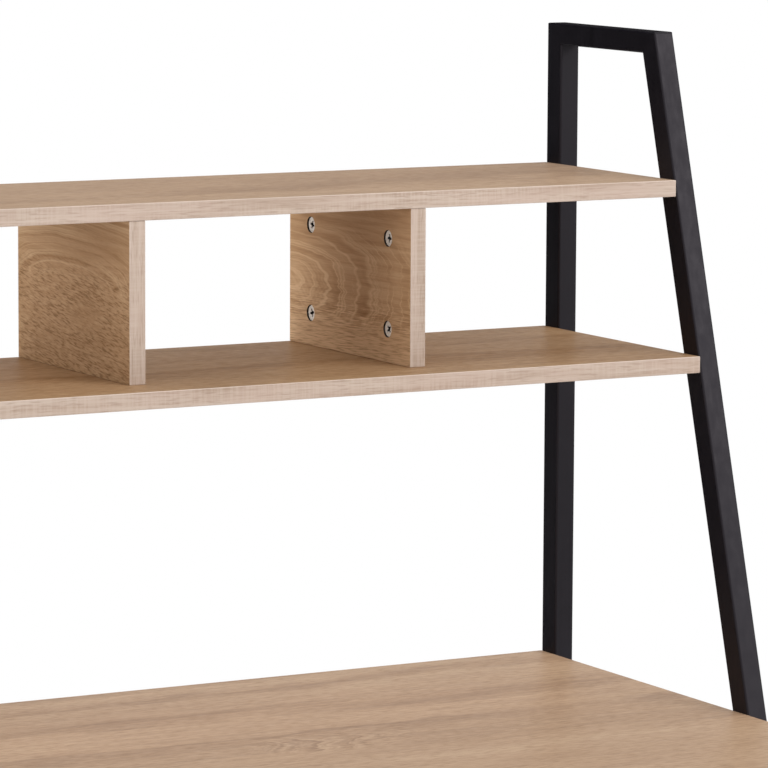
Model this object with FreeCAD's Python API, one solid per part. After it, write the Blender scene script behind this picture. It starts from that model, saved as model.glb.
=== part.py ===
import FreeCAD, Part
import os
from math import cos, pi, sin, sqrt

from FreeCAD import Placement, Rotation, Vector

# Ladder desk in millimetres. +Z is up and the front looks towards -Y.
# The origin is on the floor, under the middle of the desk's box.

# Overall sizes
frame_width = 850.0
overall_height = 1350.0
desk_depth = 580.0
desk_height = 748.0
lower_shelf_rise = 314.0
upper_shelf_rise = 470.0

# Boards
board_thickness = 15.0
board_edge_chamfer = 0.6
shelf_proud = 3.0
divider_setback = 1.0

# Side frames, with oblong tube for the legs and square tube for the bars
tube_size = 20.0
leg_depth = 25.0
tube_wall = 1.5
tube_corner_radius = 2.0
frame_top_depth = 188.0
frame_floor_reach = 570.0
frame_floor_gap = 10.0
frame_corner_cut = 2.0
frame_corner_bulge = 0.5

# Low cross tube between the rear legs
stretcher_height = 210.0

# Button-head bolts through the legs
bolt_radius = 2.95
bolt_hole_clearance = 0.3
bolt_head_radius = 5.25
bolt_head_height = 3.3
bolt_head_top_radius = 3.4
bolt_socket_width = 4.0
bolt_socket_depth = 2.0
bolt_thread_gap = 0.1
bolt_bite = 16.0
bolt_tip_spare = 4.0

# Threaded sleeves in the shelf ends
sleeve_radius = 4.5
sleeve_gap = 0.05

# Threaded plugs in the ends of the cross tubes
plug_gap = 0.2

# Wood screws under the desk top
screw_radius = 1.9
screw_head_radius = 4.2
screw_head_top_radius = 3.2
screw_head_height = 2.4
screw_bite = 11.0
screw_hole_gap = 0.3
screw_pilot_gap = 0.05
screw_slot_length = 4.4
screw_slot_width = 1.1
screw_slot_depth = 1.3
screw_end_inset = 90.0

# Cam locks in the dividers
cam_bore_radius = 7.5
cam_running_gap = 0.2
cam_floor = 3.2
cam_end_gap = 0.3
cam_face_recess = 1.5
cam_face_chamfer = 0.3
cam_setback = 30.0
cam_front_inset = 42.0
cam_rear_inset = 41.0
cam_pocket_radius = 5.3
cam_eccentricity = 0.7
cam_free_gap = 0.3
cam_entry_gap = 0.15
cam_full_turn = 205.0
cam_slot_margin = 35.0
cam_cross_length = 7.6
cam_cross_width = 2.2
cam_cross_depth = 1.9
cam_cross_cone_radius = 2.3
cam_cross_tip_radius = 0.4

# Turn of each cam from its open position, in degrees
cam_rest_turns = {
    "upper_front": 183.0,
    "upper_rear": 197.0,
    "lower_front": 140.0,
    "lower_rear": 165.0,
}

# Cam bolts, measured along their axis from the cam's centre
cam_bolt_head_radius = 3.2
cam_bolt_head_start = 0.8
cam_bolt_head_end = 3.0
cam_bolt_neck_start = 4.2
cam_bolt_neck_radius = 2.2
cam_bolt_neck_end = 10.0
cam_bolt_shank_radius = 3.4
cam_bolt_bore_radius = 4.0
cam_bolt_in_shelf = 11.0
cam_bolt_gap = 0.05

# Wooden dowels in the divider ends
dowel_radius = 4.0
dowel_in_divider = 15.0
dowel_in_shelf = 10.0
dowel_gap = 0.05

# Levelling feet and their inserts
foot_base_radius = 9.5
foot_base_height = 3.0
foot_top_radius = 6.5
foot_top_gap = 0.3
foot_stud_radius = 3.0
foot_stud_gap = 0.05
foot_stud_reach = 15.0
foot_front_inset = 52.0
foot_rear_inset = 34.0
insert_flange_radius = 6.5
insert_flange_height = 1.0
insert_sleeve_radius = 4.5
insert_sleeve_height = 12.0
insert_hole_gap = 0.05

# Room beyond the end of each dowel, cam bolt and screw in its hole
hole_end_gap = 0.5

# Overrun of every cut past the face that it opens
overrun = 1.0

# Places worked out from the sizes above
rear_y = desk_depth / 2
front_y = -desk_depth / 2
inner_x = frame_width / 2 - tube_size
leg_slope = (frame_floor_reach - frame_top_depth) / overall_height
leg_level_width = leg_depth * sqrt(1 + leg_slope**2)
rear_axis_y = rear_y - leg_depth / 2
desk_rail_z = desk_height - board_thickness - tube_size / 2
lower_shelf_top = desk_height + lower_shelf_rise
upper_shelf_top = desk_height + upper_shelf_rise
divider_top = upper_shelf_top - board_thickness
bay_width = (2 * inner_x - 2 * board_thickness) / 3
divider_face_x = bay_width / 2
bolt_hole_radius = bolt_radius + bolt_hole_clearance
cam_bolt_length = cam_setback + cam_bolt_in_shelf
sides = {"left": -1, "right": 1}
up = Vector(0, 0, 1)
right = Vector(1, 0, 0)


def leg_front_y(z):
    """Front face of the slanted leg at one height."""
    return rear_y - frame_top_depth - leg_slope * (overall_height - z)


def leg_axis_y(z):
    """Centre line of the slanted leg at one height."""
    return leg_front_y(z) + leg_level_width / 2


def shelf_front_y(top):
    return leg_front_y(top) - shelf_proud


divider_front_y = shelf_front_y(upper_shelf_top) + divider_setback
desk_rail_front_y = leg_axis_y(desk_rail_z)

# Bolt places as (y, z), the same for the legs, the boards and the bolts
shelf_bolt_places = []
for shelf_top in (lower_shelf_top, upper_shelf_top):
    shelf_middle = shelf_top - board_thickness / 2
    shelf_bolt_places.append((rear_axis_y, shelf_middle))
    shelf_bolt_places.append((leg_axis_y(shelf_middle), shelf_middle))
rail_places = {
    "desk_rail_rear": (rear_axis_y, desk_rail_z),
    "desk_rail_front": (desk_rail_front_y, desk_rail_z),
    "rear_stretcher": (rear_axis_y, stretcher_height),
}
leg_bolt_places = shelf_bolt_places + list(rail_places.values())
screw_places_x = (screw_end_inset - inner_x, inner_x - screw_end_inset)
foot_places_y = {
    "front": leg_front_y(frame_floor_gap) + foot_front_inset,
    "rear": rear_y - foot_rear_inset,
}


def save(node, solids):
    """Writes one node, a single solid or a group of separate ones."""
    shape = solids[0] if len(solids) == 1 else Part.makeCompound(solids)
    shape.exportStep(f"parts/{node}.step")


def cut_all(solid, cutters):
    return solid.cut(Part.makeCompound(cutters))


def long_edges(box):
    return [edge for edge in box.Edges if abs(edge.tangentAt(edge.FirstParameter).z) > cos(pi / 4)]


def turned(profile):
    """Solid of revolution about Z from (radius, height) points."""
    points = [Vector(radius, 0, height) for radius, height in profile]
    face = Part.Face(Part.makePolygon(points + points[:1]))
    return face.revolve(Vector(), up, 360)


def placed(solid, base, direction):
    """Copy of a solid made along +Z, set at base with its Z along direction."""
    copy = solid.copy()
    copy.Placement = Placement(base, Rotation(up, direction))
    return copy


def slot(length, width, depth):
    """Cutter for a slot in a face at z = 0, along X."""
    return Part.makeBox(length, width, depth + overrun, Vector(-length / 2, -width / 2, -depth))


# Tubes
def straight_tube(length, depth):
    """Tube along +Z, one tube size wide in X and as deep as given in Y."""
    outside = Part.makeBox(tube_size, depth, length, Vector(-tube_size / 2, -depth / 2, 0))
    outside = outside.makeFillet(tube_corner_radius, long_edges(outside))
    bore_width = tube_size - 2 * tube_wall
    bore_depth = depth - 2 * tube_wall
    bore_corner = Vector(-bore_width / 2, -bore_depth / 2, -overrun)
    return outside.cut(Part.makeBox(bore_width, bore_depth, length + 2 * overrun, bore_corner))


def beyond_mitre(outer, inner, waste):
    """Block that fills the waste side of the mitre from an outer to an inner frame corner."""
    reach = 2 * (tube_size + leg_depth)
    along = (inner - outer).normalize()
    across = Vector(0, -along.z, along.y)
    if across.dot(waste - outer) < 0:
        across = across * -1
    near = outer - along * reach
    far = outer + along * reach
    corners = [near, far, far + across * reach, near + across * reach]
    face = Part.Face(Part.makePolygon(corners + corners[:1]))
    face.translate(right * -tube_size)
    return face.extrude(right * (2 * tube_size))


def corner_rounding(corner, first, second):
    """Cutter that rounds the welded corner between the frame's outer lines to two other corners."""
    to_first = (first - corner).normalize()
    to_second = (second - corner).normalize()
    outward = (to_first + to_second).normalize() * -1
    start = corner + to_first * frame_corner_cut
    end = corner + to_second * frame_corner_cut
    middle = (start + end) / 2 + outward * frame_corner_bulge
    tip = corner + outward * (frame_corner_cut + overrun)
    clear_start = start + (tip - corner)
    clear_end = end + (tip - corner)
    curve = Part.Arc(end, middle, start).toShape()
    straight = Part.makePolygon([start, clear_start, clear_end, end])
    face = Part.Face(Part.Wire(straight.Edges + [curve]))
    face.translate(right * -tube_size)
    return face.extrude(right * (2 * tube_size))


def mitred_tube(outer_start, outer_end, inner_start, inner_end, depth):
    """Tube between two frame corners, mitred at both, in the plane x = 0."""
    start = (outer_start + inner_start) / 2
    end = (outer_end + inner_end) / 2
    direction = (end - start).normalize()
    spare = direction * (tube_size + leg_depth)
    blank = straight_tube((end - start).Length + 2 * spare.Length, depth)
    tube = placed(blank, start - spare, direction)
    tube = tube.cut(beyond_mitre(outer_start, inner_start, start - spare))
    return tube.cut(beyond_mitre(outer_end, inner_end, end + spare))


def leg_bolt_holes():
    """Bolt holes across one side frame."""
    length = tube_size + 2 * overrun
    start = -length / 2
    return [
        Part.makeCylinder(bolt_hole_radius, length, Vector(start, y, z), right) for y, z in leg_bolt_places
    ]


def foot_insert_holes():
    length = tube_wall + 2 * overrun
    bottom = frame_floor_gap - overrun
    radius = insert_sleeve_radius + insert_hole_gap
    return [Part.makeCylinder(radius, length, Vector(0, y, bottom)) for y in foot_places_y.values()]


def side_frame():
    """The four tubes of one side frame, in the plane x = 0."""
    bottom_z = frame_floor_gap
    inner_bottom_z = bottom_z + tube_size
    inner_top_z = overall_height - tube_size
    outer = {
        "rear_bottom": Vector(0, rear_y, bottom_z),
        "rear_top": Vector(0, rear_y, overall_height),
        "front_top": Vector(0, leg_front_y(overall_height), overall_height),
        "front_bottom": Vector(0, leg_front_y(bottom_z), bottom_z),
    }
    inner = {
        "rear_bottom": Vector(0, rear_y - leg_depth, inner_bottom_z),
        "rear_top": Vector(0, rear_y - leg_depth, inner_top_z),
        "front_top": Vector(0, leg_front_y(inner_top_z) + leg_level_width, inner_top_z),
        "front_bottom": Vector(0, leg_front_y(inner_bottom_z) + leg_level_width, inner_bottom_z),
    }
    ends = {
        "rear_leg": ("rear_bottom", "rear_top", leg_depth),
        "top_bar": ("rear_top", "front_top", tube_size),
        "front_leg": ("front_top", "front_bottom", leg_depth),
        "foot_rail": ("front_bottom", "rear_bottom", tube_size),
    }
    corners = list(outer)
    roundings = {}
    for i, corner in enumerate(corners):
        following = corners[(i + 1) % len(corners)]
        roundings[corner] = corner_rounding(outer[corner], outer[corners[i - 1]], outer[following])
    tubes = {}
    for name, (start, end, depth) in ends.items():
        tube = mitred_tube(outer[start], outer[end], inner[start], inner[end], depth)
        tubes[name] = cut_all(tube, [roundings[start], roundings[end]])
    for leg in ("rear_leg", "front_leg"):
        tubes[leg] = cut_all(tubes[leg], leg_bolt_holes())
    tubes["foot_rail"] = cut_all(tubes["foot_rail"], foot_insert_holes())
    return tubes


def make_side_frames():
    for name, tube in side_frame().items():
        for side, sign in sides.items():
            copy = tube.copy()
            copy.translate(right * (sign * (inner_x + tube_size / 2)))
            save(f"{name}_{side}", [copy])


# Cross tubes, their threaded plugs and the bolts through the legs
def make_cross_tubes():
    plugs = []
    for name, (y, z) in rail_places.items():
        tube = placed(straight_tube(2 * inner_x, tube_size), Vector(-inner_x, y, z), right)
        if name != "rear_stretcher":
            radius = screw_radius + screw_hole_gap
            length = tube_size + 2 * overrun
            bottom = z - length / 2
            holes = [Part.makeCylinder(radius, length, Vector(x, y, bottom)) for x in screw_places_x]
            tube = cut_all(tube, holes)
        save(name, [tube])
        plugs += [end_plug(sign, y, z) for sign in sides.values()]
    save("rail_end_nuts", plugs)


def end_plug(sign, y, z):
    """Threaded plug in one end of a cross tube."""
    size = tube_size - 2 * tube_wall - 2 * plug_gap
    plug = Part.makeBox(size, size, bolt_bite, Vector(-size / 2, -size / 2, 0))
    return placed(plug.cut(bolt_thread()), Vector(sign * inner_x, y, z), right * -sign)


def bolt_thread():
    """Cutter for the thread that takes a bolt's end."""
    length = bolt_bite + 2 * overrun
    return Part.makeCylinder(bolt_radius + bolt_thread_gap, length, Vector(0, 0, -overrun))


def hexagon(width, depth):
    """Cutter for a hexagon socket in a face at z = 0."""
    radius = width / sqrt(3)
    corners = [Vector(radius * cos(i * pi / 3), radius * sin(i * pi / 3), -depth) for i in range(7)]
    return Part.Face(Part.makePolygon(corners)).extrude(up * (depth + overrun))


def button_bolt():
    """Bolt along -Z under its tapered head, with the seat of the head at z = 0."""
    length = tube_size + bolt_bite
    bolt = turned(
        [
            (0, -length),
            (bolt_radius, -length),
            (bolt_radius, 0),
            (bolt_head_radius, 0),
            (bolt_head_top_radius, bolt_head_height),
            (0, bolt_head_height),
        ]
    )
    socket = hexagon(bolt_socket_width, bolt_socket_depth)
    socket.translate(up * bolt_head_height)
    return bolt.cut(socket)


def make_leg_bolts():
    bolt = button_bolt()
    for node, places in (("shelf_bolts", shelf_bolt_places), ("rail_bolts", rail_places.values())):
        bolts = []
        for y, z in places:
            for sign in sides.values():
                seat = Vector(sign * frame_width / 2, y, z)
                bolts.append(placed(bolt, seat, right * sign))
        save(node, bolts)


def make_shelf_sleeves():
    sleeve = Part.makeCylinder(sleeve_radius, bolt_bite).cut(bolt_thread())
    sleeves = []
    for y, z in shelf_bolt_places:
        for sign in sides.values():
            sleeves.append(placed(sleeve, Vector(sign * inner_x, y, z), right * -sign))
    save("shelf_sleeves", sleeves)


# Boards
def board(low, high):
    """Board between two corners, with its edges broken."""
    blank = Part.makeBox(high.x - low.x, high.y - low.y, high.z - low.z, low)
    return blank.makeChamfer(board_edge_chamfer, blank.Edges)


def shelf_end_holes(top):
    """Holes for the threaded sleeves in both ends of a shelf."""
    radius = sleeve_radius + sleeve_gap
    depth = bolt_bite + bolt_tip_spare + overrun
    holes = []
    for y, z in shelf_bolt_places:
        if top - board_thickness < z < top:
            for sign in sides.values():
                mouth = Vector(sign * (inner_x + overrun), y, z)
                holes.append(Part.makeCylinder(radius, depth, mouth, right * -sign))
    return holes


def divider_fixing_places():
    """Places along a divider's end, as (cam or dowel, y)."""
    front = divider_front_y + cam_front_inset
    rear = rear_y - cam_rear_inset
    return {"front": front, "rear": rear}, (front + rear) / 2


def shelf_divider_holes(face_z, direction):
    """Holes for the cam bolts and dowels in the shelf face that the dividers meet."""
    cam_places, dowel_y = divider_fixing_places()
    holes = []
    for sign in sides.values():
        x = sign * (divider_face_x + board_thickness / 2)
        radius = cam_bolt_shank_radius + cam_bolt_gap
        depth = cam_bolt_in_shelf + hole_end_gap + overrun
        for y in cam_places.values():
            mouth = Vector(x, y, face_z) - direction * overrun
            holes.append(Part.makeCylinder(radius, depth, mouth, direction))
        mouth = Vector(x, dowel_y, face_z) - direction * overrun
        depth = dowel_in_shelf + hole_end_gap + overrun
        holes.append(Part.makeCylinder(dowel_radius + dowel_gap, depth, mouth, direction))
    return holes


def make_shelves():
    shelves = {
        "lower_shelf": (lower_shelf_top, lower_shelf_top, up * -1),
        "upper_shelf": (upper_shelf_top, divider_top, up),
    }
    for name, (top, divider_z, into_shelf) in shelves.items():
        low = Vector(-inner_x, shelf_front_y(top), top - board_thickness)
        shelf = board(low, Vector(inner_x, rear_y, top))
        save(name, [cut_all(shelf, shelf_end_holes(top) + shelf_divider_holes(divider_z, into_shelf))])


def make_desk_top():
    bottom = desk_height - board_thickness
    desk = board(Vector(-inner_x, front_y, bottom), Vector(inner_x, rear_y, desk_height))
    pilots = []
    for x in screw_places_x:
        for y in (rear_axis_y, desk_rail_front_y):
            mouth = Vector(x, y, bottom - overrun)
            depth = screw_bite + hole_end_gap + overrun
            pilots.append(Part.makeCylinder(screw_radius + screw_pilot_gap, depth, mouth))
    save("desk_top", [cut_all(desk, pilots)])


def cam_centres():
    """Each cam's name with its y, its height and the direction of its bolt."""
    cam_places, _ = divider_fixing_places()
    centres = {}
    for end, y in cam_places.items():
        centres[f"upper_{end}"] = (y, divider_top - cam_setback, up)
        centres[f"lower_{end}"] = (y, lower_shelf_top + cam_setback, up * -1)
    return centres


def make_dividers():
    _, dowel_y = divider_fixing_places()
    for side, sign in sides.items():
        near = sign * divider_face_x
        far = sign * (divider_face_x + board_thickness)
        middle = (near + far) / 2
        low = Vector(min(near, far), divider_front_y, lower_shelf_top)
        divider = board(low, Vector(max(near, far), rear_y, divider_top))
        holes = []
        for y, z, to_bolt in cam_centres().values():
            mouth = Vector(near - sign * overrun, y, z)
            depth = board_thickness - cam_floor + overrun
            holes.append(Part.makeCylinder(cam_bore_radius, depth, mouth, right * sign))
            length = cam_setback + overrun
            holes.append(Part.makeCylinder(cam_bolt_bore_radius, length, Vector(middle, y, z), to_bolt))
        depth = dowel_in_divider + hole_end_gap + overrun
        radius = dowel_radius + dowel_gap
        for end_z, inward in ((divider_top, up * -1), (lower_shelf_top, up)):
            mouth = Vector(middle, dowel_y, end_z) - inward * overrun
            holes.append(Part.makeCylinder(radius, depth, mouth, inward))
        save(f"divider_{side}", [cut_all(divider, holes)])


# Cam locks
def cam_lock():
    """Cam with its face at z = 0 and its open side towards +X."""
    radius = cam_bore_radius - cam_running_gap
    length = board_thickness - cam_floor - cam_end_gap - cam_face_recess
    bolt_plane = cam_face_recess - board_thickness / 2
    body = Part.makeCylinder(radius, length, Vector(0, 0, -length))
    face_rim = [edge for edge in body.Edges if edge.Closed and abs(edge.CenterOfMass.z) < overrun]
    body = body.makeChamfer(cam_face_chamfer, face_rim)
    inside = [cam_pocket(bolt_plane), cam_neck_slot(bolt_plane, radius), cam_entry(bolt_plane)]
    return cut_all(body, inside + cam_cross())


def cam_pocket(bolt_plane):
    """Eccentric pocket, whose wall closes on the bolt's head as the cam turns."""
    half_width = cam_bolt_head_radius + cam_free_gap
    start = Vector(cam_eccentricity, 0, bolt_plane - half_width)
    return Part.makeCylinder(cam_pocket_radius, 2 * half_width, start)


def cam_neck_slot(bolt_plane, radius):
    """Slot round the rim for the bolt's neck, open over the whole turn."""
    half_width = cam_bolt_neck_radius + cam_free_gap
    angle = cam_full_turn + 2 * cam_slot_margin
    start = Vector(0, 0, bolt_plane - half_width)
    sector = Part.makeCylinder(radius + overrun, 2 * half_width, start, up, angle)
    sector.rotate(Vector(), up, -cam_slot_margin)
    return sector


def cam_entry(bolt_plane):
    """Way in for the bolt's head when the cam is open."""
    radius = cam_bolt_head_radius + cam_entry_gap
    return Part.makeCylinder(radius, cam_bore_radius + overrun, Vector(0, 0, bolt_plane), right)


def cam_cross():
    """Cross recess for a screwdriver."""
    bar = slot(cam_cross_length, cam_cross_width, cam_cross_depth)
    other_bar = bar.copy()
    other_bar.rotate(Vector(), up, 90)
    depth = up * -cam_cross_depth
    cone = Part.makeCone(cam_cross_tip_radius, cam_cross_cone_radius, cam_cross_depth, depth)
    return [bar, other_bar, cone]


def cam_bolt():
    """Bolt along +Z from the cam's centre to its end in the shelf."""
    return turned(
        [
            (0, cam_bolt_head_start),
            (cam_bolt_head_radius, cam_bolt_head_start),
            (cam_bolt_head_radius, cam_bolt_head_end),
            (cam_bolt_neck_radius, cam_bolt_neck_start),
            (cam_bolt_neck_radius, cam_bolt_neck_end),
            (cam_bolt_shank_radius, cam_bolt_neck_end),
            (cam_bolt_shank_radius, cam_bolt_length),
            (0, cam_bolt_length),
        ]
    )


def make_cam_locks():
    cam = cam_lock()
    bolt = cam_bolt()
    bolts = []
    for side, sign in sides.items():
        outward = right * -sign
        face_x = sign * (divider_face_x + cam_face_recess)
        bolt_x = sign * (divider_face_x + board_thickness / 2)
        for name, (y, z, to_bolt) in cam_centres().items():
            stand = Rotation(to_bolt, outward.cross(to_bolt), outward, "ZXY")
            turn = Rotation(up, -cam_rest_turns[name])
            copy = cam.copy()
            copy.Placement = Placement(Vector(face_x, y, z), stand * turn)
            save(f"cam_{side}_{name}", [copy])
            bolts.append(placed(bolt, Vector(bolt_x, y, z), to_bolt))
    save("cam_bolts", bolts)


# Smaller fixings under the desk top and in the dividers
def make_desk_screws():
    length = tube_size + screw_bite
    screw = turned(
        [
            (0, -screw_head_height),
            (screw_head_top_radius, -screw_head_height),
            (screw_head_radius, 0),
            (screw_radius, 0),
            (screw_radius, length),
            (0, length),
        ]
    )
    bar = slot(screw_slot_length, screw_slot_width, screw_slot_depth)
    bar.rotate(Vector(), right, 180)
    bar.translate(up * -screw_head_height)
    other_bar = bar.copy()
    other_bar.rotate(Vector(), up, 90)
    screw = cut_all(screw, [bar, other_bar])
    bottom = desk_rail_z - tube_size / 2
    screws = []
    for x in screw_places_x:
        for y in (rear_axis_y, desk_rail_front_y):
            screws.append(placed(screw, Vector(x, y, bottom), up))
    save("desk_screws", screws)


def make_dowels():
    length = dowel_in_divider + dowel_in_shelf
    dowel = Part.makeCylinder(dowel_radius, length)
    _, dowel_y = divider_fixing_places()
    dowels = []
    for sign in sides.values():
        x = sign * (divider_face_x + board_thickness / 2)
        dowels.append(placed(dowel, Vector(x, dowel_y, divider_top - dowel_in_divider), up))
        dowels.append(placed(dowel, Vector(x, dowel_y, lower_shelf_top - dowel_in_shelf), up))
    save("divider_dowels", dowels)


# Feet
def levelling_foot():
    top = frame_floor_gap - insert_flange_height - foot_top_gap
    stud_top = frame_floor_gap + foot_stud_reach
    return turned(
        [
            (0, 0),
            (foot_base_radius, 0),
            (foot_base_radius, foot_base_height),
            (foot_top_radius, top),
            (foot_stud_radius, top),
            (foot_stud_radius, stud_top),
            (0, stud_top),
        ]
    )


def foot_insert():
    """Threaded insert with its flange against the underside of the foot rail."""
    bore = foot_stud_radius + foot_stud_gap
    return turned(
        [
            (bore, -insert_flange_height),
            (insert_flange_radius, -insert_flange_height),
            (insert_flange_radius, 0),
            (insert_sleeve_radius, 0),
            (insert_sleeve_radius, insert_sleeve_height),
            (bore, insert_sleeve_height),
        ]
    )


def make_feet():
    foot = levelling_foot()
    insert = foot_insert()
    inserts = []
    for side, sign in sides.items():
        x = sign * (inner_x + tube_size / 2)
        for end, y in foot_places_y.items():
            save(f"foot_{side}_{end}", [placed(foot, Vector(x, y, 0), up)])
            inserts.append(placed(insert, Vector(x, y, frame_floor_gap), up))
    save("foot_inserts", inserts)


os.makedirs("parts", exist_ok=True)
make_side_frames()
make_cross_tubes()
make_leg_bolts()
make_shelf_sleeves()
make_desk_top()
make_shelves()
make_dividers()
make_cam_locks()
make_desk_screws()
make_dowels()
make_feet()
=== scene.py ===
import math

import bpy
from mathutils import Matrix, Vector


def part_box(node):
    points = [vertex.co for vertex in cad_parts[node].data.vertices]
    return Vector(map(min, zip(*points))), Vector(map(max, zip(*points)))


# Ladder desk in metres. +Z is up and the front looks towards -Y.
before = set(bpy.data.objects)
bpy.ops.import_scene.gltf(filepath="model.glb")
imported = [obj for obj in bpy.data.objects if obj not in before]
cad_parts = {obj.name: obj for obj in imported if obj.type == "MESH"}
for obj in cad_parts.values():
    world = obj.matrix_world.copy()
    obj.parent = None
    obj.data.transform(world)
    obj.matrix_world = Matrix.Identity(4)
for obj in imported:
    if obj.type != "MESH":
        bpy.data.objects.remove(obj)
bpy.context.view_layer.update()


# Colours, written as they look on screen
def screen_colour(red, green, blue):
    """Shader colour from three levels of 255, by the curve that screens use."""
    shares = []
    for level in (red, green, blue):
        share = level / 255
        shares.append(share / 12.92 if share <= 0.04045 else ((share + 0.055) / 1.055) ** 2.4)
    return (*shares, 1.0)


OAK_DARK = screen_colour(132, 97, 63)
OAK_MIDDLE = screen_colour(168, 134, 100)
OAK_PALE = screen_colour(188, 157, 124)
OAK_PORE = screen_colour(98, 67, 38)
OAK_LINE = screen_colour(204, 175, 140)
OAK_PAINTED_SHEEN = screen_colour(206, 196, 190)
CORE_IN_SHADE = screen_colour(46, 36, 30)
BAND_LINE = screen_colour(138, 115, 98)
BAND_DARK = screen_colour(163, 142, 126)
BAND_MIDDLE = screen_colour(179, 160, 146)
BAND_PALE = screen_colour(192, 176, 163)
BAND_BLUSH = screen_colour(186, 163, 151)
BAND_HIGHLIGHT = screen_colour(232, 219, 207)
PAINT_BLACK = screen_colour(9, 7, 12)
PAINT_GREY = screen_colour(14, 12, 18)
PAINT_SHEEN = (1.0, 0.92, 1.0, 1.0)
BOLT_BLACK = screen_colour(34, 33, 35)
BOLT_WORN = screen_colour(70, 69, 70)
PLATED_DARK = screen_colour(140, 141, 140)
PLATED_BRIGHT = screen_colour(196, 196, 192)
ZINC_DARK = screen_colour(232, 225, 216)
ZINC_BRIGHT = screen_colour(252, 248, 242)
ZINC_SHADE = screen_colour(22, 20, 22)
PLASTIC_BLACK = screen_colour(30, 30, 31)
PLASTIC_GREY = screen_colour(44, 44, 45)
BEECH_DARK = screen_colour(188, 146, 102)
BEECH_PALE = screen_colour(218, 182, 140)
FLOOR_PALE = screen_colour(236, 235, 233)
WHITE = (1.0, 1.0, 1.0, 1.0)
BLACK = (0.0, 0.0, 0.0, 1.0)


# Small helpers for shader trees
def feed(tree, socket, value):
    """Sets a socket to a plain value, or links the output that feeds it."""
    if isinstance(value, bpy.types.NodeSocket):
        tree.links.new(value, socket)
    else:
        socket.default_value = value


def add(tree, kind, settings=None, inputs=None):
    """Adds a node. An input takes a value, or the output that feeds it."""
    node = tree.nodes.new(kind)
    for name, value in (settings or {}).items():
        setattr(node, name, value)
    for name, value in (inputs or {}).items():
        feed(tree, node.inputs[name], value)
    return node


def step(tree, operation, *values):
    """Output of one arithmetic step."""
    inputs = dict(enumerate(values))
    return add(tree, "ShaderNodeMath", {"operation": operation}, inputs).outputs[0]


def plus(tree, first, second):
    return step(tree, "ADD", first, second)


def less(tree, first, second):
    return step(tree, "SUBTRACT", first, second)


def times(tree, first, second):
    return step(tree, "MULTIPLY", first, second)


def times_plus(tree, first, factor, rest):
    return step(tree, "MULTIPLY_ADD", first, factor, rest)


def about_zero(tree, value):
    """Mask from 0 to 1, moved so that its middle is zero."""
    return less(tree, value, 0.5)


def spread(tree, value, low, high, to_low=0.0, to_high=1.0):
    """Value taken from one range to another, and held at the ends."""
    inputs = {"Value": value, "From Min": low, "From Max": high, "To Min": to_low, "To Max": to_high}
    return add(tree, "ShaderNodeMapRange", {"clamp": True}, inputs).outputs["Result"]


def place_step(tree, operation, *values):
    """Output of one arithmetic step with places."""
    inputs = dict(enumerate(values))
    return add(tree, "ShaderNodeVectorMath", {"operation": operation}, inputs).outputs[0]


def length_of(tree, vector):
    return add(tree, "ShaderNodeVectorMath", {"operation": "LENGTH"}, {0: vector}).outputs["Value"]


def parts_of(tree, vector):
    return add(tree, "ShaderNodeSeparateXYZ", inputs={0: vector}).outputs


def joined(tree, *parts):
    return add(tree, "ShaderNodeCombineXYZ", inputs=dict(enumerate(parts))).outputs[0]


def turned(tree, vector, angle):
    """Place turned in the plane of the board's face."""
    inputs = {"Vector": vector, "Angle": angle}
    return add(tree, "ShaderNodeVectorRotate", {"rotation_type": "Z_AXIS"}, inputs).outputs[0]


def noise(tree, at, scale=1.0, detail=2.0, roughness=0.5):
    inputs = {"Vector": at, "Scale": scale, "Detail": detail, "Roughness": roughness}
    return add(tree, "ShaderNodeTexNoise", {"noise_dimensions": "3D"}, inputs).outputs["Fac"]


def stretched_noise(tree, at, waves, detail=2.0, roughness=0.5):
    """Noise with its own number of waves per metre along each axis."""
    stretched = place_step(tree, "MULTIPLY", at, waves)
    return noise(tree, stretched, detail=detail, roughness=roughness)


def line_noise(tree, distance, detail=2.0, roughness=0.5):
    """Noise along one line, for bands of uneven width."""
    inputs = {"W": distance, "Scale": 1.0, "Detail": detail, "Roughness": roughness}
    return add(tree, "ShaderNodeTexNoise", {"noise_dimensions": "1D"}, inputs).outputs["Fac"]


def mixed(tree, kind, share, first, second):
    """Value, place or colour that lies a share of the way from the first to the second."""
    node = add(tree, "ShaderNodeMix", {"data_type": "RGBA" if kind == "Color" else kind.upper()})
    inputs = {socket.identifier: socket for socket in node.inputs}
    feed(tree, inputs["Factor_Float"], share)
    feed(tree, inputs["A_" + kind], first)
    feed(tree, inputs["B_" + kind], second)
    return next(socket for socket in node.outputs if socket.identifier == "Result_" + kind)


def blended(tree, share, first, second):
    return mixed(tree, "Color", share, first, second)


def effect(name, inputs, outputs):
    """Empty shader group with named sockets, and its two end nodes."""
    group = bpy.data.node_groups.new(name, "ShaderNodeTree")
    for socket, kind in inputs.items():
        group.interface.new_socket(name=socket, in_out="INPUT", socket_type="NodeSocket" + kind)
    for socket, kind in outputs.items():
        group.interface.new_socket(name=socket, in_out="OUTPUT", socket_type="NodeSocket" + kind)
    return group, add(group, "NodeGroupInput").outputs, add(group, "NodeGroupOutput").inputs


def send(tree, sockets, values):
    """Links each value to the socket of its name."""
    for name, value in values.items():
        tree.links.new(value, sockets[name])


def place(tree, group, values):
    """One use of a group in a material."""
    return add(tree, "ShaderNodeGroup", {"node_tree": group}, values).outputs


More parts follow.
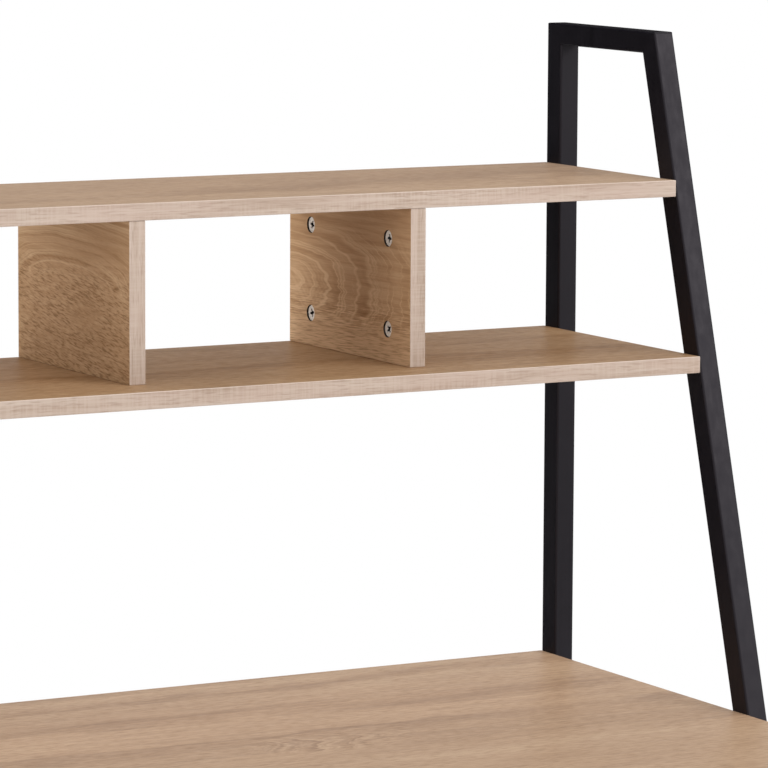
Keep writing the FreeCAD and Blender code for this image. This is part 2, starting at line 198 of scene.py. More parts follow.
# Grain of the oak print on the boards. Place runs along the grain, across it and into the board.
GRAIN = ("Heart Across", "Heart Along", "Taper", "Rings", "Wander")
CALM = ("Calm Above", "Calm Below", "Plain Within", "Pores Below", "Pore Slant", "Pore Runs")
SHARES = ("Ring Share", "Streak Share", "Line Share", "Pore Share", "Glint Share", "Painted Low Light")
LOOKS = SHARES + ("Contrast", "Painted Light Level", "Painted Sheen", "Dullness")
CROWN = ("Crown Along", "Crown Across", "Crown Length")
BOARD_VALUES = GRAIN + CALM + CROWN + LOOKS
FIGURE_MARKS = ("Rings", "Lines", "Streaks", "Pores", "Glints", "Flames", "Low")
SURFACE = {"Color": "Color", "Roughness": "Float", "Relief": "Float"}

# Waves per metre of each mark, along the grain, across it and into the board
SLOW_SWAY = (4, 14, 14)
QUICK_SHIVER = (22, 70, 70)
JAGGED_RINGS = (12, 130, 130)
BROKEN_LINES = (9, 24, 24)
FACE_FIBRE = (9, 260, 260)
PORE_CROWDS = (10, 26, 26)
FLAME_STROKES = (40, 260, 260)
FLAME_PATCHES = (6, 17, 17)
RING_FADING = (3.4, 13, 13)
DARK_CLOUDS = (2.2, 7, 7)
CROWN_RIPPLE = (30, 130, 130)
CROWN_SWAY = (9, 26, 26)
CROWN_BREAKS = (8, 150, 150)
BAND_FIBRE = (9, 420, 420)
BAND_BROAD = (5, 110, 110)
BAND_CUTS = (420, 14, 14)
BAND_PATCHES = (11, 30, 30)
BAND_DASHES = (55, 620, 620)
BAND_BLUSHES = (14, 40, 40)
PORES_ACROSS = 900.0

# Fixed shapes and strengths of the marks on a board's face. The flames' turn is in radians.
RING_ROUNDNESS = 3.0
SHIVER_SHARE = 0.3
JAGGED_SHARE = 0.02
CALM_LEFT = 0.12
PLAIN_LEFT = 0.1
PORES_LEFT = 0.15
FLAME_TURN = 0.7
FLAME_SHARE = 0.3
CLOUD_SHARE = 0.2
ARCH_SHARE = 0.9
SHADE_SHARE = 1.2
PORE_DULLNESS = 0.12
STREAK_DULLNESS = 0.06
FLAME_RELIEF = 0.3

# Crown of arches, measured in its own length
ARCH_BEND = 0.5
ARCH_RIPPLE = 0.32
ARCH_RINGS = 8.0
LINE_BEND = 0.7
LINE_ABOVE = 1.15

# Fixed strengths of the marks on an edge band
SAW_SHARE = 0.36
SAW_RELIEF = 0.6
DASH_SHARE = 0.4
BLUSH_SHARE = 0.35
HIGHLIGHT_SHARE = 0.3


def named_values(names):
    """Sockets of a group that works on a place with these values."""
    return {"Place": "Vector", **{name: "Float" for name in names}}


def make_oak_figure():
    """Rings of a log cut lengthwise, its fibres, its pores and the marks across them."""
    marks = {name: "Float" for name in FIGURE_MARKS}
    tree, given, made = effect("oak_figure", named_values(GRAIN + CALM), marks)
    at = given["Place"]
    parts = parts_of(tree, at)

    # Distance from the log's heart, which sways, and the rings that lie at each distance
    slow = about_zero(tree, stretched_noise(tree, at, SLOW_SWAY))
    quick = about_zero(tree, stretched_noise(tree, at, QUICK_SHIVER, detail=3.0))
    sway = times(tree, slow, given["Wander"])
    shiver = times(tree, quick, times(tree, given["Wander"], SHIVER_SHARE))
    along = less(tree, parts["X"], given["Heart Along"])
    off_heart = plus(tree, less(tree, parts["Y"], given["Heart Across"]), sway)
    deep = step(tree, "ABSOLUTE", times(tree, along, given["Taper"]))
    jagged = about_zero(tree, stretched_noise(tree, at, JAGGED_RINGS))
    deep = times_plus(tree, jagged, times(tree, given["Taper"], JAGGED_SHARE), deep)
    sides = [step(tree, "ABSOLUTE", side) for side in (off_heart, deep)]
    raised = [step(tree, "POWER", side, RING_ROUNDNESS) for side in sides]
    radius = step(tree, "POWER", plus(tree, *raised), 1 / RING_ROUNDNESS)
    bands = line_noise(tree, times(tree, plus(tree, radius, shiver), given["Rings"]), 2.0, 0.55)

    # Calm parts of the board, where the rings hardly show. Low marks the part on the lower side, which a
    # board can make paler as painted light.
    above = less(tree, off_heart, given["Calm Above"])
    below = less(tree, off_heart, given["Calm Below"])
    outside = less(tree, radius, given["Plain Within"])
    lively = spread(tree, above, 0.0, 0.02, 1.0, CALM_LEFT)
    lively = times(tree, lively, spread(tree, below, -0.02, 0.0, CALM_LEFT, 1.0))
    lively = times(tree, lively, spread(tree, outside, -0.012, 0.004, PLAIN_LEFT, 1.0))
    low = spread(tree, below, -0.03, 0.0, 1.0, 0.0)
    strength = times(tree, about_zero(tree, spread(tree, bands, 0.3, 0.7)), lively)
    rings = plus(tree, strength, 0.5)

    # Pale lines, broken along their length
    crest = step(tree, "ABSOLUTE", about_zero(tree, bands))
    drift = stretched_noise(tree, at, BROKEN_LINES, detail=1.0)
    lines = times(tree, spread(tree, crest, 0.06, 0.0), spread(tree, drift, 0.32, 0.56))
    lines = times(tree, lines, lively)

    # Fine fibres all over
    fibre = stretched_noise(tree, at, FACE_FIBRE, detail=4.0, roughness=0.62)
    streaks = spread(tree, fibre, 0.3, 0.72)

    # Pores are short dark dashes, with pale glints between them
    combed = turned(tree, at, given["Pore Slant"])
    pore_waves = joined(tree, given["Pore Runs"], PORES_ACROSS, PORES_ACROSS)
    dashes = stretched_noise(tree, combed, pore_waves)
    crowded = stretched_noise(tree, at, PORE_CROWDS)
    over = less(tree, off_heart, given["Pores Below"])
    thinned = spread(tree, over, -0.01, 0.012, 1.0, PORES_LEFT)
    open_grain = times(tree, spread(tree, crowded, 0.14, 0.4), thinned)
    pores = times(tree, spread(tree, dashes, 0.5, 0.64), open_grain)
    glints = times(tree, spread(tree, dashes, 0.46, 0.34), open_grain)

    # Flames are patches of pale strokes at a slant to the grain
    strokes = stretched_noise(tree, turned(tree, at, FLAME_TURN), FLAME_STROKES)
    patch = stretched_noise(tree, at, FLAME_PATCHES, detail=1.0)
    flames = times(tree, spread(tree, strokes, 0.46, 0.64), spread(tree, patch, 0.56, 0.7))

    results = (rings, lines, streaks, pores, glints, flames, low)
    send(tree, made, dict(zip(FIGURE_MARKS, results)))
    return tree


def make_oak_crown():
    """Nested arches at the tips of some growth rings, and a dark line along the grain above them."""
    tree, given, made = effect("oak_crown", named_values(CROWN), {"Arches": "Float", "Shade": "Float"})
    at = given["Place"]
    parts = parts_of(tree, at)
    length = given["Crown Length"]
    half_length = times(tree, length, 0.5)
    ahead = step(tree, "DIVIDE", less(tree, parts["X"], given["Crown Along"]), length)
    aside = step(tree, "DIVIDE", less(tree, parts["Y"], given["Crown Across"]), half_length)
    ripple = about_zero(tree, stretched_noise(tree, at, CROWN_RIPPLE))
    sway = about_zero(tree, stretched_noise(tree, at, CROWN_SWAY))
    ahead = plus(tree, ahead, sway)
    square = times(tree, aside, aside)
    arch = times_plus(tree, square, ARCH_BEND, times_plus(tree, ripple, ARCH_RIPPLE, ahead))
    rings = line_noise(tree, times(tree, arch, ARCH_RINGS), 2.0, 0.6)
    away = plus(tree, square, times(tree, ahead, ahead))
    near = spread(tree, times_plus(tree, sway, 1.2, away), 1.3, 0.1)
    arches = times(tree, about_zero(tree, spread(tree, rings, 0.34, 0.66)), near)

    # The line bends, is soft on its lower side and is broken along its length
    bend = about_zero(tree, line_noise(tree, times(tree, ahead, 0.8), 1.0))
    under = less(tree, times_plus(tree, bend, LINE_BEND, LINE_ABOVE), aside)
    soft = times(tree, spread(tree, under, 0.0, 0.1), spread(tree, under, 0.1, 1.8, 0.4, 0.0))
    thin = spread(tree, step(tree, "ABSOLUTE", less(tree, under, 0.1)), 0.14, 0.02)
    dark = step(tree, "MAXIMUM", soft, thin)
    run = times(tree, spread(tree, ahead, -3.0, -1.2), spread(tree, ahead, 4.0, 1.6))
    breaks = stretched_noise(tree, at, CROWN_BREAKS, detail=3.0)
    shade = times(tree, times(tree, dark, run), spread(tree, breaks, 0.3, 0.62, 0.3, 1.0))
    send(tree, made, {"Arches": arches, "Shade": shade})
    return tree


def make_oak_face(figure, crown):
    """Colour, roughness and relief of a board's printed face."""
    tree, given, made = effect("oak_face", named_values(BOARD_VALUES), SURFACE)
    at = given["Place"]
    marks = place(tree, figure, {name: given[name] for name in ("Place",) + GRAIN + CALM})
    tip = place(tree, crown, {name: given[name] for name in ("Place",) + CROWN})
    fading = spread(tree, stretched_noise(tree, at, RING_FADING), 0.36, 0.62, 0.25, 1.0)
    rings = times(tree, about_zero(tree, marks["Rings"]), fading)
    streaks = times(tree, about_zero(tree, marks["Streaks"]), given["Streak Share"])
    tone = times_plus(tree, rings, given["Ring Share"], streaks)
    tone = times_plus(tree, tip["Arches"], ARCH_SHARE, tone)
    tone = times_plus(tree, tone, given["Contrast"], 0.5)
    colour = blended(tree, spread(tree, tone, 0.0, 0.5), OAK_DARK, OAK_MIDDLE)
    colour = blended(tree, spread(tree, tone, 0.5, 1.0), colour, OAK_PALE)
    cloud = stretched_noise(tree, at, DARK_CLOUDS)
    colour = blended(tree, spread(tree, cloud, 0.4, 0.66, 0.0, CLOUD_SHARE), colour, OAK_DARK)
    for mark, share, tint in (
        (tip["Shade"], SHADE_SHARE, OAK_DARK),
        (marks["Flames"], FLAME_SHARE, OAK_PALE),
        # Painted light: the lower side of the right divider is made paler, as if lit by the shelf below.
        (marks["Low"], given["Painted Low Light"], OAK_PALE),
        (marks["Glints"], given["Glint Share"], OAK_PALE),
        (marks["Pores"], given["Pore Share"], OAK_PORE),
        (marks["Lines"], given["Line Share"], OAK_LINE),
    ):
        colour = blended(tree, times(tree, mark, share), colour, tint)
    # Painted light: each board's colour is scaled up or down by how much light it should seem to get, the
    # right divider most.
    inputs = {0: colour, "Scale": given["Painted Light Level"]}
    colour = add(tree, "ShaderNodeVectorMath", {"operation": "SCALE"}, inputs).outputs[0]
    # Painted sheen: the desk top and upper shelf are mixed towards a pale grey, standing in for the light
    # they reflect.
    colour = blended(tree, given["Painted Sheen"], colour, OAK_PAINTED_SHEEN)
    dull = times_plus(tree, marks["Pores"], PORE_DULLNESS, given["Dullness"])
    dull = times_plus(tree, marks["Streaks"], STREAK_DULLNESS, dull)
    relief = times_plus(tree, marks["Pores"], -1.0, marks["Streaks"])
    relief = times_plus(tree, marks["Flames"], FLAME_RELIEF, relief)
    send(tree, made, {"Color": colour, "Roughness": dull, "Relief": relief})
    return tree


def make_edge_band():
    """Colour, roughness and relief of the paler band glued round a board's edges."""
    tree, given, made = effect("edge_band", {"Place": "Vector", "Chamfer": "Float"}, SURFACE)
    at = given["Place"]
    fibre = stretched_noise(tree, at, BAND_FIBRE, detail=4.0, roughness=0.62)
    broad = stretched_noise(tree, at, BAND_BROAD)
    tone = plus(tree, times(tree, fibre, 0.62), times(tree, broad, 0.38))
    colour = blended(tree, spread(tree, tone, 0.34, 0.5), BAND_DARK, BAND_MIDDLE)
    colour = blended(tree, spread(tree, tone, 0.5, 0.68), colour, BAND_PALE)
    cuts = stretched_noise(tree, at, BAND_CUTS)
    patch = stretched_noise(tree, at, BAND_PATCHES, detail=1.0)
    saw = times(tree, spread(tree, cuts, 0.42, 0.58), spread(tree, patch, 0.34, 0.5))
    colour = blended(tree, times(tree, saw, SAW_SHARE), colour, BAND_PALE)
    dashes = stretched_noise(tree, at, BAND_DASHES)
    colour = blended(tree, spread(tree, dashes, 0.54, 0.68, 0.0, DASH_SHARE), colour, BAND_LINE)
    blush = stretched_noise(tree, at, BAND_BLUSHES)
    colour = blended(tree, spread(tree, blush, 0.4, 0.7, 0.0, BLUSH_SHARE), colour, BAND_BLUSH)
    # Painted highlight: the chamfers along the band's edges are made paler, as if they caught the light.
    colour = blended(tree, times(tree, given["Chamfer"], HIGHLIGHT_SHARE), colour, BAND_HIGHLIGHT)
    dull = spread(tree, fibre, 0.3, 0.7, 0.42, 0.56)
    relief = times_plus(tree, saw, SAW_RELIEF, fibre)
    send(tree, made, {"Color": colour, "Roughness": dull, "Relief": relief})
    return tree


def make_fine_grit():
    """Small mottle and orange peel of paint, plastic and plating."""
    tree, given, made = effect(
        "fine_grit",
        {"Place": "Vector", "Peel Size": "Float", "Cloud Size": "Float", "Streak Along": "Vector"},
        {"Mottle": "Float", "Peel": "Float", "Streaks": "Float"},
    )
    at = given["Place"]
    peel = noise(tree, at, given["Peel Size"], 2.0, 0.6)
    clouds = noise(tree, at, given["Cloud Size"], 3.0, 0.6)
    lengthwise = stretched_noise(tree, at, given["Streak Along"], 3.0, 0.6)
    mottle, streaks = (spread(tree, uneven, 0.3, 0.7) for uneven in (clouds, lengthwise))
    send(tree, made, {"Mottle": mottle, "Peel": peel, "Streaks": streaks})
    return tree


# How much of a face's direction lies along an axis
SQUARE_ON = 0.85
TURNED_AWAY = 0.3


def make_board_sides():
    """Which side of a board a point is on: square to X, Y or Z, on a chamfer, or turned towards X."""
    outputs = ("Across X", "Across Y", "Across Z", "Chamfer", "Towards X")
    tree, given, made = effect("board_sides", {"Normal": "Vector"}, {name: "Float" for name in outputs})
    parts = parts_of(tree, place_step(tree, "ABSOLUTE", given["Normal"]))
    across = {"Across " + axis: step(tree, "GREATER_THAN", parts[axis], SQUARE_ON) for axis in "XYZ"}
    off_y = step(tree, "LESS_THAN", parts["Y"], TURNED_AWAY)
    partly_x = step(tree, "GREATER_THAN", parts["X"], TURNED_AWAY)
    largest = step(tree, "MAXIMUM", step(tree, "MAXIMUM", parts["X"], parts["Y"]), parts["Z"])
    chamfer = step(tree, "LESS_THAN", largest, SQUARE_ON)
    send(tree, made, {**across, "Chamfer": chamfer, "Towards X": times(tree, off_y, partly_x)})
    return tree


oak_figure = make_oak_figure()
oak_crown = make_oak_crown()
oak_face = make_oak_face(oak_figure, oak_crown)
edge_band = make_edge_band()
fine_grit = make_fine_grit()
board_sides = make_board_sides()

# Heights of the fine relief and the rim of a cam's bore, and the depth below a cam's face where its painted
# shade begins
BOARD_RELIEF = 0.00012
GRIT_RELIEF = 0.00006
BEECH_RELIEF = 0.0001
CAM_BORE_EDGE = 0.0006
CAM_SHADE_START = 0.0002

# Gloss of a divider, and the size of a finish's clouds against its peel
DIVIDER_GLOSS = 0.2
CLOUDS_PER_PEEL = 0.04


# Materials
def new_material(name):
    """Material with a bare shader, its tree and the places on its piece."""
    material = bpy.data.materials.new(name)
    material.use_nodes = True
    tree = material.node_tree
    tree.nodes.clear()
    shader = add(tree, "ShaderNodeBsdfPrincipled")
    end = add(tree, "ShaderNodeOutputMaterial")
    tree.links.new(shader.outputs[0], end.inputs["Surface"])
    return material, tree, shader, add(tree, "ShaderNodeTexCoord").outputs


def raise_relief(tree, shader, height, distance, strength):
    inputs = {"Height": height, "Distance": distance, "Strength": strength}
    tree.links.new(add(tree, "ShaderNodeBump", inputs=inputs).outputs[0], shader.inputs["Normal"])


def turned_place(tree, spot, order, flip=(1, 1, 1), shift=(0, 0, 0)):
    """Place with its axes put in another order, so that the grain runs the right way."""
    parts = parts_of(tree, spot)
    return place_step(tree, "MULTIPLY_ADD", joined(tree, *(parts[axis] for axis in order)), flip, shift)


def in_cam_bores(tree, spot):
    """Share that is 1 in the cams' bores of a divider, whose four places mirror each other."""
    low, high = (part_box(f"cam_right_{name}") for name in ("lower_front", "upper_rear"))
    low_centre, high_centre = ((a + b) / 2 for a, b in (map(Vector, low), map(Vector, high)))
    middle = (low_centre + high_centre) / 2
    apart = (high_centre - low_centre) / 2
    folded = place_step(tree, "ABSOLUTE", place_step(tree, "SUBTRACT", spot, middle))
    from_centre = place_step(tree, "SUBTRACT", folded, apart)
    away = length_of(tree, place_step(tree, "MULTIPLY", from_centre, (0, 1, 1)))
    cam_radius = (Vector(low[1]) - Vector(low[0])).z / 2
    return spread(tree, away, cam_radius + CAM_BORE_EDGE, cam_radius + CAM_BORE_EDGE / 2)


def oak_board(name, order, edge_orders, grain, gloss, flip=(1, 1, 1), shift=(0, 0, 0), bored=False):
    """Board with a printed face and banded edges. Order gives the axes along, across and into the face."""
    material, tree, shader, spot = new_material(name)
    sides = place(tree, board_sides, {"Normal": spot["Normal"]})
    on_edge = less(tree, 1.0, sides["Towards X" if bored else "Across " + order[2]])
    face_place = turned_place(tree, spot["Object"], order, flip, shift)
    face = place(tree, oak_face, {"Place": face_place, **grain})
    along, other = (turned_place(tree, spot["Object"], axes, shift=shift) for axes in edge_orders)
    edge_place = mixed(tree, "Vector", sides["Across " + edge_orders[1][2]], along, other)
    band = place(tree, edge_band, {"Place": edge_place, "Chamfer": sides["Chamfer"]})
    colour = blended(tree, on_edge, face["Color"], band["Color"])
    if bored:
        # Painted shade: the bores' walls take the bare core's colour, darkened much further for the shade
        # inside them.
        shaded_bore_wall = times(tree, in_cam_bores(tree, spot["Object"]), on_edge)
        colour = blended(tree, shaded_bore_wall, colour, CORE_IN_SHADE)
    dull = mixed(tree, "Float", on_edge, face["Roughness"], band["Roughness"])
    send(tree, shader.inputs, {"Base Color": colour, "Roughness": dull})
    height = mixed(tree, "Float", on_edge, face["Relief"], band["Relief"])
    raise_relief(tree, shader, height, BOARD_RELIEF, strength=0.35)
    shader.inputs["Specular IOR Level"].default_value = gloss
    return material


def level_board(name, own_grain, gloss, shift):
    """Desk top or shelf, with its grain from side to side."""
    return oak_board(name, "XYZ", ("XZY", "YZX"), {**LEVEL_GRAIN, **own_grain}, gloss, shift=shift)


def upright_board(name, grain, flip, shift):
    """Divider, with its grain from front to rear and bores for its cams."""
    edge_orders = ("ZXY", "YXZ")
    return oak_board(name, "YZX", edge_orders, grain, DIVIDER_GLOSS, flip=flip, shift=shift, bored=True)


def grit_on(tree, spot, peel_size, cloud_size, streak_along):
    values = {
        "Place": spot["Object"],
        "Peel Size": peel_size,
        "Cloud Size": cloud_size,
        "Streak Along": streak_along,
    }
    return place(tree, fine_grit, values)


def mottled(name, tones, rough, metallic, peel, streak_along, specular=0.5, tint=WHITE):
    """Paint, plastic or plated metal with small uneven tone and gloss, each from one value to another."""
    material, tree, shader, spot = new_material(name)
    grit = grit_on(tree, spot, peel, peel * CLOUDS_PER_PEEL, streak_along)
    tone = times_plus(tree, grit["Streaks"], 0.5, times(tree, grit["Mottle"], 0.5))
    dull = spread(tree, tone, 0.2, 0.8, *rough)
    send(tree, shader.inputs, {"Base Color": blended(tree, tone, *tones), "Roughness": dull})
    raise_relief(tree, shader, grit["Peel"], GRIT_RELIEF, strength=0.25)
    shader.inputs["Metallic"].default_value = metallic
    shader.inputs["Specular IOR Level"].default_value = specular
    shader.inputs["Specular Tint"].default_value = tint
    return material


def beech_material():
    """Turned dowel, with the boards' rings and fibres but closer and paler."""
    material, tree, shader, spot = new_material("beech_dowel")
    values = {
        "Place": turned_place(tree, spot["Object"], "ZXY"),
        "Heart Across": 0.0,
        "Heart Along": 0.0,
        "Taper": 0.02,
        "Rings": 300.0,
        "Wander": 0.01,
        "Calm Above": 1.0,
        "Calm Below": -1.0,
        "Plain Within": -1.0,
        "Pores Below": 1.0,
        "Pore Runs": 84.0,
    }
    marks = place(tree, oak_figure, values)
    tone = times_plus(tree, marks["Rings"], 0.5, times(tree, marks["Streaks"], 0.5))
    dull = spread(tree, marks["Streaks"], 0.0, 1.0, 0.55, 0.7)
    colour = blended(tree, tone, BEECH_DARK, BEECH_PALE)
    send(tree, shader.inputs, {"Base Color": colour, "Roughness": dull})
    raise_relief(tree, shader, marks["Streaks"], BEECH_RELIEF, strength=0.3)
    return material


def zinc_material():
    """Die-cast cam: a pale face, and painted shade on its cross and sides below the face."""
    material, tree, shader, spot = new_material("zinc_casting")
    grit = grit_on(tree, spot, 1500.0, 260.0, (400.0, 400.0, 400.0))
    tone = times_plus(tree, grit["Streaks"], 0.4, times(tree, grit["Mottle"], 0.6))
    face_x = min(abs(corner[0]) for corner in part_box("cam_right_upper_front"))
    parts = parts_of(tree, spot["Object"])
    # Painted shade: all that lies deeper than the cam's face turns near black, for the shade in its cross
    # and round its sides.
    depth = less(tree, step(tree, "ABSOLUTE", parts["X"]), face_x)
    shade = spread(tree, depth, CAM_SHADE_START, 4 * CAM_SHADE_START)
    colour = blended(tree, shade, blended(tree, tone, ZINC_DARK, ZINC_BRIGHT), ZINC_SHADE)
    dull = spread(tree, tone, 0.2, 0.8, 0.4, 0.56)
    send(tree, shader.inputs, {"Base Color": colour, "Roughness": dull})
    raise_relief(tree, shader, grit["Peel"], GRIT_RELIEF, strength=0.4)
    shader.inputs["Metallic"].default_value = 0.1
    return material


# Ways that the streaks of a finish run, in waves per metre
LENGTHWISE = (220.0, 220.0, 5.0)
SIDEWAYS = (5.0, 220.0, 220.0)
FRAME_PAINT = {
    "tones": (PAINT_BLACK, PAINT_GREY),
    "rough": (0.42, 0.54),
    "metallic": 0.0,
    "peel": 1400.0,
    "specular": 0.28,
    "tint": PAINT_SHEEN,
}
black_paint = mottled("black_powder_coat", streak_along=LENGTHWISE, **FRAME_PAINT)
rail_paint = mottled("black_rail_coat", streak_along=SIDEWAYS, **FRAME_PAINT)
bolt_black = mottled(
    "black_bolt_finish",
    tones=(BOLT_BLACK, BOLT_WORN),
    rough=(0.34, 0.5),
    metallic=0.6,
    peel=2600.0,
    streak_along=SIDEWAYS,
)
plated_steel = mottled(
    "plated_steel",
    tones=(PLATED_DARK, PLATED_BRIGHT),
    rough=(0.26, 0.42),
    metallic=1.0,
    peel=2200.0,
    streak_along=SIDEWAYS,
)
zinc_cast = zinc_material()
foot_plastic = mottled(
    "black_foot_plastic",
    tones=(PLASTIC_BLACK, PLASTIC_GREY),
    rough=(0.5, 0.66),
    metallic=0.0,
    peel=2000.0,
    streak_along=LENGTHWISE,
    specular=0.4,
)
beech_dowel = beech_material()

# Grain of each board in metres. A place out of reach leaves a mark off or on all over.
OUT_OF_REACH = 10.0
NO_CROWN = {"Crown Along": OUT_OF_REACH, "Crown Across": OUT_OF_REACH, "Crown Length": 0.08}
LEVEL_GRAIN = {
    **NO_CROWN,
    "Heart Along": -1.3,
    "Taper": 0.04,
    "Rings": 18.0,
    "Wander": 0.1,
    "Calm Above": OUT_OF_REACH,
    "Calm Below": -OUT_OF_REACH,
    "Plain Within": -OUT_OF_REACH,
    "Pores Below": OUT_OF_REACH,
    "Pore Slant": 0.0,
    "Pore Runs": 84.0,
    "Ring Share": 0.76,
    "Streak Share": 0.44,
    "Line Share": 0.1,
    "Pore Share": 0.3,
    "Glint Share": 0.3,
    "Painted Low Light": 0.0,
    "Dullness": 0.4,
}
left_grain = {
    **NO_CROWN,
    "Heart Across": 1.12,
    "Heart Along": 0.185,
    "Taper": 0.36,
    "Rings": 150.0,
    "Wander": 0.016,
    "Calm Above": OUT_OF_REACH,
    "Calm Below": 0.03,
    "Plain Within": 0.028,
    "Pores Below": 0.03,
    "Pore Slant": -0.15,
    "Pore Runs": 120.0,
    "Ring Share": 0.34,
    "Streak Share": 0.5,
    "Line Share": 0.5,
    "Pore Share": 0.56,
    "Glint Share": 0.6,
    "Painted Low Light": 0.0,
    "Contrast": 0.75,
    "Painted Light Level": 0.97,
    "Painted Sheen": 0.0,
    "Dullness": 0.34,
}
right_grain = {
    **NO_CROWN,
    "Heart Across": 1.122,
    "Heart Along": 0.1,
    "Taper": 0.3,
    "Rings": 120.0,
    "Wander": 0.024,
    "Calm Above": 0.036,
    "Calm Below": -0.02,
    "Plain Within": -OUT_OF_REACH,
    "Pores Below": -0.012,
    "Pore Slant": -0.03,
    "Pore Runs": 48.0,
    "Ring Share": 0.55,
    "Streak Share": 0.46,
    "Line Share": 0.45,
    "Pore Share": 0.45,
    "Glint Share": 1.0,
    "Painted Low Light": 0.7,
    "Contrast": 1.1,
    "Painted Light Level": 1.33,
    "Painted Sheen": 0.0,
    "Dullness": 0.34,
}
desk_shift = (0.31, 0.0, 0.0)
desk_grain = {
    "Heart Across": -0.16,
    "Ring Share": 0.56,
    "Contrast": 1.25,
    "Painted Light Level": 1.04,
    "Painted Sheen": 0.126,
    "Crown Along": desk_shift[0] + 0.01,
    "Crown Across": desk_shift[1] + 0.005,
}
lower_grain = {"Heart Across": 0.22, "Streak Share": 0.9, "Contrast": 0.75, "Painted Light Level": 0.99, "Painted Sheen": 0.0}
upper_grain = {"Heart Across": 0.55, "Contrast": 1.0, "Painted Light Level": 0.93, "Painted Sheen": 0.155}
board_materials = {
    "desk_top": level_board("oak_desk_top", desk_grain, gloss=0.08, shift=desk_shift),
    "lower_shelf": level_board("oak_lower_shelf", lower_grain, gloss=0.1, shift=(1.7, 0.4, 0.2)),
    "upper_shelf": level_board("oak_upper_shelf", upper_grain, gloss=0.12, shift=(3.3, 0.3, 0.5)),
    "divider_left": upright_board("oak_left_divider", left_grain, flip=(1, 1, 1), shift=(0, 0, 0)),
    "divider_right": upright_board("oak_right_divider", right_grain, flip=(-1, 1, 1), shift=(0.4, 0, 0.3)),
}


# Finish of each piece
def finish_of(name):
    if name in board_materials:
        return board_materials[name]
    if name.startswith("desk_rail") or name == "rear_stretcher":
        return rail_paint
    if name.startswith("cam_") and name != "cam_bolts":
        return zinc_cast
    if name.startswith("foot_") and not name.startswith(("foot_rail", "foot_inserts")):
        return foot_plastic
    if name in ("shelf_bolts", "rail_bolts"):
        return bolt_black
    if name == "divider_dowels":
        return beech_dowel
    if name.startswith(("rear_leg", "front_leg", "top_bar", "foot_rail")):
        return black_paint
    return plated_steel


for name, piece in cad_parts.items():
    finish = finish_of(name)
    for slot in piece.material_slots:
        slot.material = finish


# Studio. The floor's shadow fades to plain white between two distances from the desk.
FLOOR_REACH = 9.0
SHADOW_REACH = 0.7
WHITE_FROM = 2.4
FILL_LIGHT = 0.78


def flat_sheet(name, corners):
    """Sheet with one face, put into the scene."""
    mesh = bpy.data.meshes.new(name)
    mesh.from_pydata(corners, [], [(0, 1, 2, 3)])
    sheet = bpy.data.objects.new(name, mesh)
    bpy.context.scene.collection.objects.link(sheet)
    return sheet


def looked_at(tree):
    """Share that is 1 where the camera, a mirror or glass looks, and 0 for light that falls on the desk."""
    rays = add(tree, "ShaderNodeLightPath").outputs
    seen = step(tree, "MAXIMUM", rays["Is Camera Ray"], rays["Is Glossy Ray"])
    return step(tree, "MAXIMUM", seen, rays["Is Transmission Ray"])


def make_floor():
    """Floor that shows from above only, with the desk's shadow near it and plain white further off."""
    near, far = -FLOOR_REACH, FLOOR_REACH
    floor = flat_sheet("floor", [(near, near, 0), (far, near, 0), (far, far, 0), (near, far, 0)])
    material, tree, shader, spot = new_material("pale_floor")
    grit = grit_on(tree, spot, 60.0, 1.5, (3.0, 3.0, 3.0))
    tree.links.new(blended(tree, grit["Mottle"], FLOOR_PALE, WHITE), shader.inputs["Base Color"])
    shader.inputs["Roughness"].default_value = 0.9
    shader.inputs["Specular IOR Level"].default_value = 0.1
    seen = looked_at(tree)
    away = length_of(tree, spot["Object"])
    far_white = times(tree, spread(tree, away, SHADOW_REACH, WHITE_FROM), seen)
    white = add(tree, "ShaderNodeEmission", inputs={"Color": WHITE, "Strength": 1.0})
    lit = add(tree, "ShaderNodeMixShader", inputs={0: far_white, 1: shader.outputs[0], 2: white.outputs[0]})
    clear = add(tree, "ShaderNodeBsdfTransparent")
    below = times(tree, add(tree, "ShaderNodeNewGeometry").outputs["Backfacing"], seen)
    both = add(tree, "ShaderNodeMixShader", inputs={0: below, 1: lit.outputs[0], 2: clear.outputs[0]})
    end = next(node for node in tree.nodes if node.type == "OUTPUT_MATERIAL")
    tree.links.new(both.outputs[0], end.inputs["Surface"])
    floor.data.materials.append(material)


def make_world():
    """White all round to the eye, and a softer fill as light."""
    world = bpy.data.worlds.new("white_studio")
    world.use_nodes = True
    tree = world.node_tree
    tree.nodes.clear()
    soft = add(tree, "ShaderNodeBackground", inputs={"Color": WHITE, "Strength": FILL_LIGHT})
    white = add(tree, "ShaderNodeBackground", inputs={"Color": WHITE, "Strength": 1.0})
    inputs = {0: looked_at(tree), 1: soft.outputs[0], 2: white.outputs[0]}
    both = add(tree, "ShaderNodeMixShader", inputs=inputs)
    end = add(tree, "ShaderNodeOutputWorld")
    tree.links.new(both.outputs[0], end.inputs["Surface"])
    bpy.context.scene.world = world


def soft_box(name, spot, aim, size, power, mirrored=True):
    """Large lamp that looks at one point. Reflections leave it out where it isn't mirrored."""
    lamp = bpy.data.lights.new(name, "AREA")
    lamp.shape = "RECTANGLE"
    lamp.size, lamp.size_y = size
    lamp.energy = power
    stand = bpy.data.objects.new(name, lamp)
    stand.location = spot
    stand.rotation_mode = "QUATERNION"
    stand.rotation_quaternion = (Vector(aim) - Vector(spot)).to_track_quat("-Z", "Y")
    stand.visible_camera = False
    stand.visible_glossy = mirrored
    bpy.context.scene.collection.objects.link(stand)


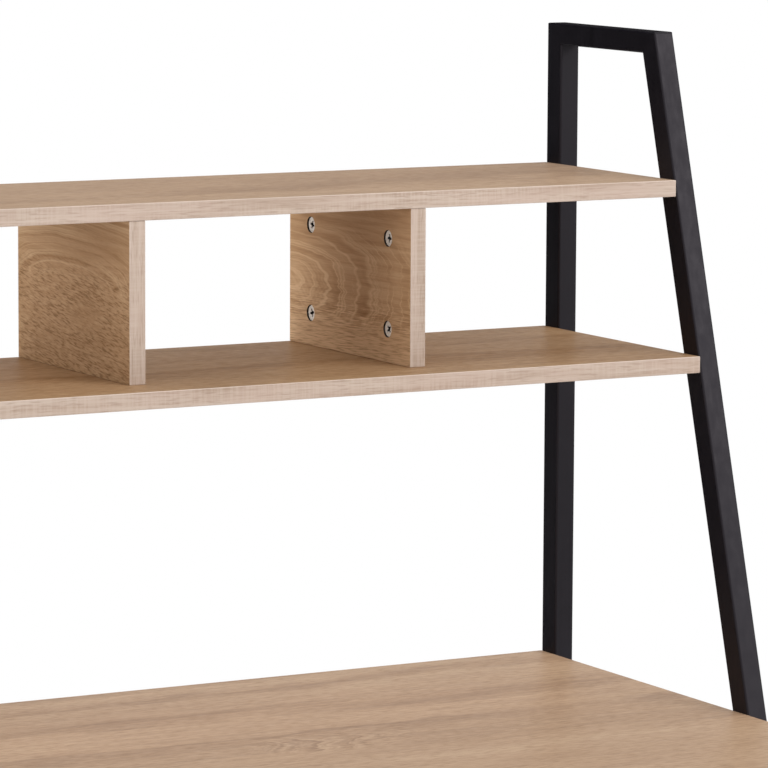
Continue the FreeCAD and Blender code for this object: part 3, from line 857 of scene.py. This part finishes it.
def dark_panel(name, low, high):
    """Upright black cloth that only reflections see, as used beside a white table."""
    (left, front, bottom), (right, rear, top) = low, high
    corners = [(left, front, bottom), (right, rear, bottom), (right, rear, top), (left, front, top)]
    panel = flat_sheet(name, corners)
    material, _, shader, _ = new_material(name)
    shader.inputs["Base Color"].default_value = BLACK
    shader.inputs["Roughness"].default_value = 1.0
    shader.inputs["Specular IOR Level"].default_value = 0.0
    panel.data.materials.append(material)
    panel.visible_camera = False
    panel.visible_diffuse = False
    panel.visible_shadow = False
    panel.visible_transmission = False


def make_camera():
    """Camera where the photograph was taken from, with the picture's own field of view."""
    picture_pixels = 768
    focal_pixels = 4695.8
    lens_place = (-1.8927, -3.5161, 1.5735)
    yaw, pitch, roll = (math.radians(angle) for angle in (29.151, 7.292, 0.297))
    level_ahead = Vector((math.sin(yaw), math.cos(yaw), 0))
    level_right = Vector((math.cos(yaw), -math.sin(yaw), 0))
    up = Vector((0, 0, 1))
    ahead = level_ahead * math.cos(pitch) - up * math.sin(pitch)
    raised = up * math.cos(pitch) + level_ahead * math.sin(pitch)
    right = level_right * math.cos(roll) + raised * math.sin(roll)
    raised = raised * math.cos(roll) - level_right * math.sin(roll)
    camera = bpy.data.cameras.new("camera")
    camera.sensor_width = 36.0
    camera.lens = focal_pixels / picture_pixels * camera.sensor_width
    camera.clip_end = 100.0
    stand = bpy.data.objects.new("camera", camera)
    turn = Matrix((right, raised, -ahead)).transposed().to_4x4()
    stand.matrix_world = Matrix.Translation(lens_place) @ turn
    bpy.context.scene.collection.objects.link(stand)
    bpy.context.scene.camera = stand


make_floor()
make_world()
soft_box("soft_box_front", (0.4, -2.2, 3.5), (0.0, 0.1, 0.9), size=(2.4, 2.4), power=53.0)
soft_box("soft_box_rear", (0.0, 2.2, 3.1), (0.0, 0.2, 1.0), size=(2.6, 1.0), power=28.0, mirrored=False)
soft_box("soft_box_right", (2.2, -2.7, 2.55), (0.4, 0.0, 1.1), size=(1.3, 1.1), power=30.0)
soft_box("soft_box_left", (-3.4, 0.55, 1.0), (0.0, 0.1, 1.1), size=(3.6, 2.0), power=72.0, mirrored=False)
dark_panel("dark_panel_left", (-3.6, 1.25, 0.02), (0.2, 1.25, 3.0))
dark_panel("dark_panel_high", (0.2, 1.25, 1.37), (3.4, 1.25, 2.6))
dark_panel("dark_panel_shelf", (-0.6, 0.6, 1.15), (0.5, 0.6, 1.2))
dark_panel("dark_panel_low", (0.4, -2.2, 0.02), (2.8, -2.2, 0.5))
make_camera()
bpy.context.scene.view_settings.view_transform = "Standard"
